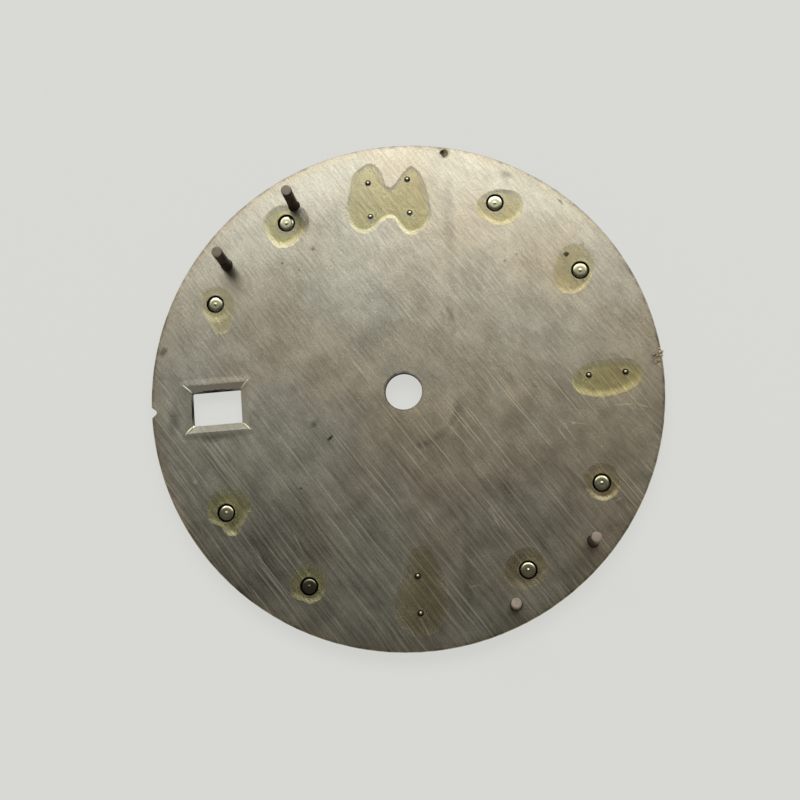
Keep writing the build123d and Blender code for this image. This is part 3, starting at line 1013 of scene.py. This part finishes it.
@dataclass
class Markers:
    """The applied markers on the face, whose stud and foot ends show in the back, and their fillings.

    A baton has an hour and its share of the pitch between twins beside that hour's radius.
    """

    batons: tuple[tuple[str, int, float], ...] = (
        ("12_left", 12, -0.5),
        ("12_right", 12, 0.5),
        ("6", 6, 0.0),
        ("9", 9, 0.0),
    )
    # Hours whose round marker uses the copy of the metal with painted shade on its back
    shade_painted_hours: tuple[int, ...] = (5,)
    cup_radius: float = 1.15
    rim_width: float = 0.16
    seat_level: float = -0.45
    lowest_level: float = -0.95
    pocket_depth: float = 0.22
    edge_break: float = 0.05
    cup_edge_inset: float = 0.02
    lume_sink: float = 0.05
    lume_crown: float = 0.035
    stud_radius: float = 0.43
    stud_end_radius: float = 0.39
    stud_chamfer: float = 0.035
    stud_shoulder_level: float = -0.045
    stud_top_level: float = -0.021
    stud_dome_power: float = 6.0
    pip_radius: float = 0.055
    pip_height: float = 0.022
    softness: tuple[float, ...] = (0.01, 0.015, 0.02, 0.03, 0.01, 0.005, 0.01)
    corner_steps: int = 4
    dome_steps: int = 26
    crown_steps: int = 14
    lume_segments: int = 64
    baton_half_size: Pair = (0.7, 1.8)
    baton_corner: float = 0.08
    pocket_break: float = 0.015
    # How far in, and how far above its lowest level, a baton's outer edge and its filling's crown step
    outer_steps: tuple[Pair, ...] = ((0.07, 0.0), (0.015, 0.06), (0.0, 0.09))
    filling_steps: tuple[Pair, ...] = ((0.0, 0.05), (0.06, 0.032), (0.2, 0.02))
    # How far in the edge at its seat is, and how far from the seat it starts
    seat_step: Pair = (0.01, 0.02)
    foot_radius: float = 0.155
    foot_end_radius: float = 0.08
    foot_top_level: float = 0.11
    foot_root: float = 0.05
    foot_dome: float = 0.015
    foot_steps: int = 12
    foot_segments: int = 48
    metal: TurnedMetal = TurnedMetal()
    shade_painted_metal: TurnedMetal = TurnedMetal("shade_painted_turned_metal", painted_shade=0.72)
    foot_metal: TurnedMetal = TurnedMetal(
        "drawn_foot_wire", "D8D0B0", "A89F7C", roughness=0.22, upright_span=(0.85, 0.7)
    )
    lume: PaintedFinish = PaintedFinish("luminous_paint", "DCE3C6", "CDD6B2", 0.75, 22.0, 0.006)

    def round_profile(self) -> FloatArray:
        """Draws the turned section of a round marker, from its pocket's floor round to its stud's end.

        The stud's end rises to its top by 1 - (radius / end radius) to the dome's power, and the pip on it
        is a bell: height * exp(-(radius / pip radius)^2).

        Returns:
            Rows of radius and height.
        """
        inner = self.cup_radius - self.rim_width
        low = self.lowest_level
        shoulder = self.stud_shoulder_level
        corners = [
            (0.0, low + self.pocket_depth),
            (inner, low + self.pocket_depth),
            (inner, low),
            (self.cup_radius - self.cup_edge_inset, low),
            (self.cup_radius, low + 2 * self.edge_break),
            (self.cup_radius, self.seat_level),
            (self.stud_radius, self.seat_level),
            (self.stud_radius, shoulder - self.stud_chamfer),
            (self.stud_end_radius, shoulder),
        ]
        body = soften(corners, self.softness, self.corner_steps)
        t = np.linspace(0, 1, self.dome_steps)[1:, None]
        radius = self.stud_end_radius * np.cos(t * np.pi / 2)
        rise = self.stud_top_level - shoulder
        dome = shoulder + rise * (1 - (radius / self.stud_end_radius) ** self.stud_dome_power)
        pip = self.pip_height * np.exp(-((radius / self.pip_radius) ** 2))
        return np.concatenate([body, np.concatenate([radius, dome + pip], axis=1)])

    def lume_profile(self) -> FloatArray:
        """Draws the section of a round filling: flat on the pocket's floor and slightly crowned outside.

        Returns:
            Rows of radius and height.
        """
        inner = self.cup_radius - self.rim_width
        t = np.linspace(1, 0, self.crown_steps)[:, None]
        crown = self.lowest_level + self.lume_sink - self.lume_crown * (1 - t**2)
        floor = self.lowest_level + self.pocket_depth
        start = np.array([(0.0, floor), (inner, floor)])
        return np.concatenate([start, np.concatenate([inner * t, crown], axis=1)])

    def foot_profile(self) -> FloatArray:
        """Draws the section of a baton's foot, from inside its body to the rounded end on the back.

        Returns:
            Rows of radius and height.
        """
        start = self.seat_level - self.foot_root
        shaft = np.array([(0.0, start), (self.foot_radius, start), (self.foot_radius, 0.0)])
        t = np.linspace(0, 1, self.foot_steps)[:, None]
        radius = self.foot_end_radius * np.cos(t * np.pi / 2)
        dome = self.foot_top_level - self.foot_dome * (radius / self.foot_end_radius) ** 2
        return np.concatenate([shaft, np.concatenate([radius, dome], axis=1)])

    def baton_skin(self, levels: list[Pair], hour: int, side: float) -> FloatArray:
        """Lays rounded rectangles at several levels and carries a skin from each to the next.

        Args:
            levels: Rows of how far a rectangle is drawn in from the baton's outline, and its level.
            hour: The baton's hour.
            side: Its place beside that hour's radius, as a share of the pitch between twins.

        Returns:
            A closed grid of points.
        """
        half_width, half_length = self.baton_half_size
        rows = []
        for inset, level in levels:
            corner = min(self.baton_corner, max(half_width - inset, 0.0))
            outline = rounded_rectangle(half_width - inset, half_length - inset, corner)
            x, y = at_hour(outline[:, 0] + side * TWIN_BATON_PITCH, outline[:, 1] + BATON_RADIUS, hour)
            rows.append(np.stack([x, y, np.full(len(x), level)], axis=-1))
        return np.stack(rows)

    def build(self) -> None:
        """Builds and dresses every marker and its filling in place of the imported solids."""
        metal = self.metal.build()
        shade_painted = self.shade_painted_metal.build()
        foot_metal = self.foot_metal.build()
        lume = self.lume.build()
        for hour in ROUND_HOURS:
            centre = at_hour(0.0, ROUND_RADIUS, hour)
            finish = shade_painted if hour in self.shade_painted_hours else metal
            cup = [lathe(self.round_profile(), centre)]
            make_piece(f"round_marker_{hour}", cup, finish, f"hour_marker_{hour}")
            filling = [lathe(self.lume_profile(), centre, self.lume_segments)]
            make_piece(f"round_lume_{hour}", filling, lume, f"lume_{hour}")
        # How far each rectangle of a baton is drawn in, and its level
        middle, rim = self.baton_half_size[0], self.rim_width
        low, seat = self.lowest_level, self.seat_level
        floor = low + self.pocket_depth
        seat_inset, seat_reach = self.seat_step
        body_levels = [
            (middle, floor),
            (rim, floor),
            (rim, low + self.pocket_break),
            (rim - self.pocket_break, low),
            *((inset, low + rise) for inset, rise in self.outer_steps),
            (0.0, seat - seat_reach),
            (seat_inset, seat),
            (middle, seat),
        ]
        lume_levels = [
            (middle, floor),
            (rim, floor),
            *((rim + inset, low + rise) for inset, rise in self.filling_steps),
            (middle, low + self.lume_sink - self.lume_crown),
        ]
        for name, hour, side in self.batons:
            body = [self.baton_skin(body_levels, hour, side)]
            for foot in (-0.5, 0.5):
                along = BATON_RADIUS + foot * BATON_FOOT_SPACING
                centre = at_hour(side * TWIN_BATON_PITCH, along, hour)
                body.append(lathe(self.foot_profile(), centre, self.foot_segments))
            make_piece(f"baton_marker_{name}", body, foot_metal, f"baton_{name}")
            filling = [self.baton_skin(lume_levels, hour, side)]
            make_piece(f"baton_lume_{name}", filling, lume, f"lume_{name}")


@dataclass
class DialFeet:
    """The four welded copper posts.

    A place has a post's distance from the centre, its turn round the dial from 12 o'clock and the slope of
    its filed end along Y, both in degrees.
    """

    radius: float = 0.3
    length: float = 3.0
    weld_width: float = 0.05
    weld_height: float = 0.012
    weld_shoulder_share: float = 0.9
    weld_unevenness: float = 0.05
    root_depth: float = 0.01
    waist_share: float = 0.985
    end_break: float = 0.05
    end_crown: float = 0.012
    softness: tuple[float, ...] = (0.004, 0.015, 0.04, 0.3, 0.03, 0.02)
    corner_steps: int = 5
    segments: int = 64
    places: tuple[Triple, ...] = (
        (12.53, 49.4, 4.0),
        (12.53, 25.8, 3.0),
        (13.14, 203.0, -9.0),
        (13.14, 226.6, -6.0),
    )
    copper: TarnishedCopper = TarnishedCopper()

    def post(self, distance: float, turn_degrees: float, slant_degrees: float) -> FloatArray:
        """Builds one post with its weld and its filed end.

        A turned section whose radius near the weld is scaled by one plus the unevenness times the sine of
        three times the angle, and whose end is filed at a slant: above half its length, every height falls
        in step with the distance along Y.

        Args:
            distance: Distance of the post from the dial's centre.
            turn_degrees: Angle round the dial from 12 o'clock.
            slant_degrees: Slope of the end along Y.

        Returns:
            A closed grid of points.
        """
        radius, length, weld = self.radius, self.length, self.weld_width
        corners = [
            (0.0, -self.root_depth),
            (radius + weld, -self.root_depth),
            (radius + weld * self.weld_shoulder_share, self.weld_height),
            (radius, weld),
            (radius * self.waist_share, length / 2),
            (radius, length - self.end_break),
            (radius - self.end_break, length),
            (0.0, length - self.end_crown),
        ]
        section = soften(corners, self.softness, self.corner_steps)
        grid = lathe(section, (0.0, 0.0), self.segments)
        centre = at_hour(0.0, distance, turn_degrees / 30)
        angles = np.arctan2(grid[..., 1], grid[..., 0])
        near_weld = np.exp(-np.clip(grid[..., 2], 0, None) / weld)
        uneven = 1 + self.weld_unevenness * np.sin(3 * angles + turn_degrees) * near_weld
        slant = math.tan(math.radians(slant_degrees)) * (grid[..., 1] - np.sign(slant_degrees) * radius)
        grid[..., 2] += slant * np.clip(2 * grid[..., 2] / length - 1, 0, 1)
        grid[..., 0] = centre[0] + grid[..., 0] * uneven
        grid[..., 1] = centre[1] + grid[..., 1] * uneven
        return grid

    def build(self) -> None:
        """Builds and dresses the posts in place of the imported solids."""
        copper = self.copper.build()
        for number, place in enumerate(self.places, start=1):
            post = [self.post(*place)]
            make_piece(f"dial_post_{number}", post, copper, f"dial_foot_{number}")


@dataclass(frozen=True)
class DropShape:
    """One lacquer drop: its outline round its hour's middle, and the bead that stands on its film.

    The outline is given by its reach from the middle at equal turns from +X, or by its own points. The
    drop sags: its film is thicker towards 6 o'clock and thinner towards 12, by the sag. The bead has the
    place of its middle, its radius and its height.
    """

    hour: int
    film_height: float
    edge_width: float
    sag: float
    reaches: tuple[float, ...] = ()
    points: tuple[Pair, ...] = ()
    bead: Quad = (0.0, 0.0, 0.9, 0.0)
    state: LacquerState = LacquerState.CLOUDY
    steps_by_points: int = 5
    steps_by_reaches: int = 8

    def outline(self) -> FloatArray:
        """Draws the drop's closed outline round its middle.

        Returns:
            Rows of two coordinates, the first repeated at the end.
        """
        if self.points:
            return closed_curve(np.array(self.points), self.steps_by_points)
        angles = np.arange(len(self.reaches)) * 2 * np.pi / len(self.reaches)
        points = np.array(self.reaches)[:, None] * np.stack([np.cos(angles), np.sin(angles)], axis=1)
        return closed_curve(points, self.steps_by_reaches)


DROP_SHAPES = (
    DropShape(
        1, 0.06, 0.42, 0.5,
        (1.31, 1.33, 1.27, 1.13, 1.12, 1.18, 1.25, 1.31, 1.32, 1.31, 1.40, 1.50, 1.43, 1.30, 1.24, 1.27),
    ),
    DropShape(
        2, 0.012, 0.3, 0.0,
        (1.10, 1.05, 1.04, 1.01, 1.01, 1.02, 0.96, 0.85, 0.79, 0.86, 0.92, 1.13, 1.74, 1.79, 1.34, 1.16),
        bead=(0.05, -0.25, 0.8, 0.045),
    ),
    DropShape(
        4, 0.058, 0.5, 0.45,
        (1.37, 1.51, 1.44, 1.41, 1.35, 1.36, 1.25, 1.12, 1.07, 1.04, 0.88, 0.84, 1.23, 1.39, 1.16, 1.17),
        state=LacquerState.YELLOWED,
    ),
    DropShape(
        5, 0.055, 0.48, 0.45,
        (0.93, 0.94, 1.09, 1.21, 1.26, 1.21, 1.11, 1.05, 1.05, 1.11, 0.96, 0.87, 0.95, 0.95, 0.93, 0.93),
        state=LacquerState.YELLOWED,
    ),
    DropShape(
        6, 0.03, 0.7, 0.2,
        (1.65, 1.60, 1.82, 2.51, 2.63, 1.77, 1.28, 1.22, 1.34, 1.55, 1.87, 2.23, 2.25, 2.21, 1.92, 1.75),
        state=LacquerState.CLEAR,
    ),
    DropShape(
        7, 0.03, 0.6, 0.0,
        (1.02, 1.06, 1.16, 1.24, 1.19, 1.19, 1.20, 1.22, 1.33, 1.36, 1.26, 1.12, 1.02, 0.99, 0.98, 0.98),
        state=LacquerState.CLEAR,
    ),
    DropShape(
        8, 0.03, 0.35, 0.5,
        (1.01, 1.05, 1.10, 1.07, 1.09, 1.10, 1.10, 1.07, 0.99, 0.94, 0.91, 0.94, 0.99, 0.99, 1.01, 1.01),
        bead=(0.12, -0.15, 0.75, 0.02),
        state=LacquerState.CLEAR,
    ),
    DropShape(
        9, 0.03, 0.44, 0.2,
        (1.94, 1.63, 1.14, 0.89, 0.80, 0.84, 1.07, 1.42, 1.89, 1.99, 1.62, 1.37, 1.26, 1.28, 1.47, 1.80),
        state=LacquerState.YELLOWED,
    ),
    DropShape(
        10, 0.02, 0.28, 0.1,
        (0.76, 0.85, 1.05, 1.30, 1.55, 1.60, 1.49, 1.42, 1.49, 1.62, 1.64, 1.42, 1.14, 0.92, 0.79, 0.75),
        bead=(-0.2, -0.15, 1.1, 0.02),
    ),
    DropShape(
        11, 0.022, 0.3, 0.5,
        (1.57, 1.34, 1.01, 0.83, 0.76, 0.75, 0.80, 0.91, 1.02, 1.09, 1.08, 1.14, 1.31, 1.44, 1.53, 1.60),
        bead=(0.25, -0.15, 1.1, 0.02),
    ),
    DropShape(
        12, 0.045, 0.25, 0.5,
        points=(
            (-0.95, 2.18), (-1.56, 1.94), (-2.01, 1.49), (-2.23, 0.52), (-2.42, -0.2), (-2.4, -1.06),
            (-2.12, -1.64), (-1.61, -1.94), (-1.02, -1.82), (-0.52, -1.39), (-0.15, -1.18), (0.19, -1.25),
            (0.4, -1.61), (0.76, -2.11), (1.21, -2.28), (1.87, -2.01), (2.33, -1.33), (2.33, -0.6),
            (2.18, 0.39), (2.0, 1.03), (1.8, 1.42), (1.39, 1.78), (0.93, 1.46), (0.48, 0.9),
            (0.17, 0.65), (-0.11, 0.84), (-0.29, 1.54), (-0.61, 2.01),
        ),
    ),
)


@dataclass(frozen=True)
class Collar:
    """How a drop thins where a stud or foot comes through it.

    It has its lowest share of the height at the post's radius and the whole height one width further out.
    Its skin starts at the inner radius.
    """

    inner_radius: float
    post_radius: float
    width: float
    lowest_share: float = 0.75


@dataclass
class LacquerDrops:
    """The lacquer on the back that holds the markers' studs and feet.

    Round a stud, a drop starts at the edge of the stud's hole. Round a baton's feet it is closed.
    """

    shapes: tuple[DropShape, ...] = DROP_SHAPES
    stud_collar: Collar = Collar(0.515, 0.5, 0.25)
    foot_collar: Collar = Collar(0.0, 0.15, 0.15)
    sunk_level: float = -0.006
    edge_power: float = 1.4
    bead_fade: float = 0.2
    ripple_share: float = 0.05
    ripple_waves: Pair = (2.1, 1.3)
    rings: int = 40
    sharp_degrees: float = 60.0
    fleck_place: Triple = (9.63, 6.93, 0.03)
    fleck_size: Triple = (0.13, 0.12, 0.02)
    fleck_phase: float = 3.0
    fleck: PaintedFinish = PaintedFinish("charred_fleck", "5C5142", "42382B", 0.7, 20.0, 0.004)
    finishes: tuple[FixingLacquer, ...] = (
        FixingLacquer(LacquerState.CLOUDY, "F6F2D6", "DCDA96", 4500.0, 0.9, 0.17),
        FixingLacquer(LacquerState.YELLOWED, "F3F1CE", "DCDA94", 6000.0, 0.96, 0.16),
        FixingLacquer(LacquerState.CLEAR, "F4F0E4", "CFC88A", 9000.0, 1.0, 0.13),
    )

    def posts(self, hour: int) -> FloatArray:
        """Gives the places of the stud or feet that a drop covers, from the middle of the drop.

        Args:
            hour: The drop's hour.

        Returns:
            Rows of two coordinates.
        """
        if hour in ROUND_HOURS:
            return np.zeros((1, 2))
        places = []
        for side in (-0.5, 0.5) if hour == 12 else (0.0,):
            for foot in (-0.5, 0.5):
                places.append(at_hour(side * TWIN_BATON_PITCH, foot * BATON_FOOT_SPACING, hour))
        return np.array(places)

    def height(self, shape: DropShape, collar: Collar, flat: FloatArray, start: float) -> FloatArray:
        """Works out how high a drop stands over the back.

        It is the film's height times sin(90 degrees * d) to the edge's power, where d is the distance to
        the outline as a share of the edge's width, held at 1, and times 1 minus the sag times the way
        towards 12. To that comes the bead's height times 1 - s^2 inside the bead, where s is the distance
        to its middle as a share of its radius. The sum is scaled by a slow ripple, and by the collar where
        a stud or foot comes through.

        Args:
            shape: The drop.
            collar: How it thins round a stud or foot.
            flat: Grid of places from the drop's middle.
            start: Start of the ripple's wave, which makes drops differ.

        Returns:
            A height for each place.
        """
        outline = shape.outline()
        gaps = distance_to(outline, flat)
        edge_way = np.clip(gaps / shape.edge_width, 0, 1)
        film = shape.film_height * np.sin(edge_way * np.pi / 2) ** self.edge_power
        film = film * (1 - shape.sag * flat[..., 1] / np.abs(outline[:, 1]).max())
        *bead_place, bead_radius, bead_height = shape.bead
        bead_way = np.linalg.norm(flat - np.array(bead_place), axis=-1) / bead_radius
        bead = bead_height * np.clip(1 - bead_way**2, 0, None) * np.clip(gaps / self.bead_fade, 0, 1)
        waves = self.ripple_waves[0] * flat[..., 0] + self.ripple_waves[1] * flat[..., 1] + start
        ripple = 1 + self.ripple_share * np.sin(waves)
        to_posts = np.linalg.norm(flat[:, :, None] - self.posts(shape.hour), axis=-1).min(axis=2)
        away = np.clip((to_posts - collar.post_radius) / collar.width, 0, 1)
        left = collar.lowest_share + (1 - collar.lowest_share) * away**2 * (3 - 2 * away)
        return (film + bead) * ripple * left

    def surface(self, shape: DropShape) -> FloatArray:
        """Builds the closed skin of a drop.

        Rings run from the collar's inner radius to the outline, closer together towards it, and each
        place is lifted by the drop's height there. The skin closes along a flat bottom just inside the
        metal.

        Args:
            shape: The drop.

        Returns:
            A closed grid of points.
        """
        round_drop = shape.hour in ROUND_HOURS
        collar = self.stud_collar if round_drop else self.foot_collar
        centre = at_hour(0.0, ROUND_RADIUS if round_drop else BATON_RADIUS, shape.hour)
        outline = shape.outline()
        inner = outline / np.linalg.norm(outline, axis=1, keepdims=True) * collar.inner_radius
        share = np.sin(np.linspace(0, np.pi / 2, self.rings))[:, None, None]
        flat = inner + share * (outline - inner)
        height = self.height(shape, collar, flat, centre[0])
        height[-1] = 0.0
        top = np.concatenate([flat, height[..., None]], axis=-1)
        bottom = np.concatenate([flat[[-1, 0]], np.full((2, flat.shape[1], 1), self.sunk_level)], axis=-1)
        return np.concatenate([top, bottom, top[:1]]) + np.array([*centre, 0.0])

    def build(self) -> None:
        """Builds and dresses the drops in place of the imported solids, and the fleck in one of them."""
        fleck = [lump(self.fleck_place, self.fleck_size, self.fleck_phase)]
        make_piece("lacquer_fleck", fleck, self.fleck.build())
        lacquers = {finish.state: finish.build() for finish in self.finishes}
        for shape in self.shapes:
            make_piece(
                f"lacquer_drop_{shape.hour}",
                [self.surface(shape)],
                lacquers[shape.state],
                f"fixing_lacquer_{shape.hour}",
                self.sharp_degrees,
            )


# Studio


@dataclass(frozen=True)
class Lamp:
    """One soft panel that faces the dial.

    The compass is its direction from the dial, clockwise from 12 o'clock as the picture shows it, the
    tilts are how far its upper and lower edge hang from straight overhead, and a radiance of 1 is white.
    """

    name: str
    compass_degrees: float
    tilts_degrees: Pair
    width: float
    radiance: float


@dataclass
class Studio:
    """The pale floor, the soft lamps, the dim room and the camera.

    The three lamps beyond 12 o'clock add up to one window whose brightness falls off softly. One lamp
    hangs below the floor and lights the face.
    """

    floor_level: float = -0.95
    floor_tone: str = "E3E4DF"
    floor_radius: float = 900.0
    floor_curve: float = 150.0
    curve_steps: int = 12
    wall_lean: float = 60.0
    wall_height: float = 320.0
    shown_share: float = 0.78
    room_tone: str = "FFFAF2"
    room_strength: float = 0.085
    seen_room_tone: str = "D9DAD5"
    lamp_distance: float = 600.0
    lamps: tuple[Lamp, ...] = (
        Lamp("window_glow", 6.0, (11.0, 60.0), 760.0, 0.2),
        Lamp("window_haze", 6.0, (17.0, 57.0), 700.0, 0.42),
        Lamp("window_pane", 6.0, (22.0, 53.0), 640.0, 2.15),
        Lamp("left_panel", -95.0, (50.0, 80.0), 420.0, 0.28),
        Lamp("right_panel", 95.0, (45.0, 80.0), 420.0, 0.4),
        Lamp("near_panel", 180.0, (38.0, 78.0), 420.0, 0.22),
        Lamp("under_panel", 0.0, (125.0, 170.0), 620.0, 2.6),
    )
    camera_place: Triple = (4.6276, -14.3333, 79.1836)
    camera_aim: Triple = (-2.8531, 0.9216, 0.0)
    camera_turn_degrees: float = -3.97
    sensor_width: float = 36.0
    lens: float = 65.434
    shift: Pair = (0.06076, -0.02574)
    clip_in_metres: Pair = (0.002, 10.0)

    def paper(self) -> bpy.types.Material:
        """Makes the floor's paper: mostly its own pale colour to the camera, and lit like paper otherwise.

        It is clear from below and to what lights the face.

        Returns:
            The material.
        """
        material, add = new_material("pale_paper")
        rays = add("LightPath").outputs
        shown = add("Math", rays["Is Camera Ray"], rays["Is Glossy Ray"], operation="MAXIMUM")
        shown = add("Math", shown, rays["Is Transmission Ray"], operation="MAXIMUM")
        share = add("Math", shown, self.shown_share, operation="MULTIPLY")
        tone = srgb(self.floor_tone)
        mixed = add("MixShader", share, add("BsdfDiffuse", tone), add("Emission", tone, 1.0))
        from_below = add("NewGeometry").outputs["Backfacing"]
        clear = add("Math", from_below, rays["Is Shadow Ray"], operation="MAXIMUM")
        add("OutputMaterial", add("MixShader", clear, mixed, add("BsdfTransparent")))
        return material

    def floor(self) -> None:
        """Lays the round floor and its far wall: a turned profile of flat floor, curve and wall."""
        corners = [
            (0.0, self.floor_level),
            (self.floor_radius, self.floor_level),
            (self.floor_radius + self.wall_lean, self.wall_height),
        ]
        grid = lathe(soften(corners, [self.floor_curve], self.curve_steps), (0.0, 0.0))
        floor = make_object("floor", [grid], self.paper())
        if floor.data.polygons[0].normal.z < 0:
            floor.data.flip_normals()

    def hang(self, lamp: Lamp) -> None:
        """Hangs one lamp, with its face towards the dial.

        Args:
            lamp: The lamp.
        """
        near, far = (math.radians(tilt) for tilt in lamp.tilts_degrees)
        tilt, compass = (near + far) / 2, math.radians(lamp.compass_degrees)
        level = math.sin(tilt)
        towards = Vector((math.sin(compass) * level, math.cos(compass) * level, math.cos(tilt)))
        data = bpy.data.lights.new(lamp.name, "AREA")
        data.shape = "RECTANGLE"
        data.size = lamp.width * METRES_PER_MM
        data.size_y = 2 * self.lamp_distance * math.tan((far - near) / 2) * METRES_PER_MM
        data.energy = lamp.radiance * math.pi * data.size * data.size_y
        panel = bpy.data.objects.new(lamp.name, data)
        panel.location = towards * self.lamp_distance * METRES_PER_MM
        panel.rotation_mode = "QUATERNION"
        panel.rotation_quaternion = (-towards).to_track_quat("-Z", "Y")
        bpy.context.scene.collection.objects.link(panel)

    def room(self) -> None:
        """Makes the dim room, which is pale where the camera looks past the floor."""
        world = bpy.data.worlds.new("dim_room")
        world.use_nodes = True
        world.node_tree.nodes.clear()
        add = partial(add_node, world.node_tree)
        dim = add("Background", srgb(self.room_tone), self.room_strength)
        seen = add("Background", srgb(self.seen_room_tone), 1.0)
        add("OutputWorld", add("MixShader", add("LightPath").outputs["Is Camera Ray"], dim, seen))
        bpy.context.scene.world = world

    def camera(self) -> None:
        """Sets the camera at the photograph's angle."""
        place, aim = Vector(self.camera_place), Vector(self.camera_aim)
        turn = math.radians(self.camera_turn_degrees)
        back = (place - aim).normalized()
        right = Vector((-math.sin(turn), math.cos(turn), 0.0)).cross(back).normalized()
        axes = Matrix((right, back.cross(right), back)).transposed().to_4x4()
        data = bpy.data.cameras.new("camera")
        data.sensor_width = self.sensor_width
        data.lens = self.lens
        data.shift_x, data.shift_y = self.shift
        data.clip_start, data.clip_end = self.clip_in_metres
        camera = bpy.data.objects.new("camera", data)
        camera.matrix_world = Matrix.Translation(place * METRES_PER_MM) @ axes
        bpy.context.scene.collection.objects.link(camera)
        bpy.context.scene.camera = camera

    def build(self) -> None:
        """Builds the whole studio."""
        self.floor()
        for lamp in self.lamps:
            self.hang(lamp)
        self.room()
        self.camera()
        bpy.context.scene.view_settings.view_transform = "Standard"


def main() -> None:
    """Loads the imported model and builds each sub-assembly on it."""
    logging.basicConfig(level=logging.INFO, format="%(message)s")
    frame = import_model()
    DialPlate().build(frame["nodes"])
    Markers().build()
    DialFeet().build()
    LacquerDrops().build()
    Studio().build()
    bpy.context.view_layer.update()


if __name__ == "__main__":
    main()
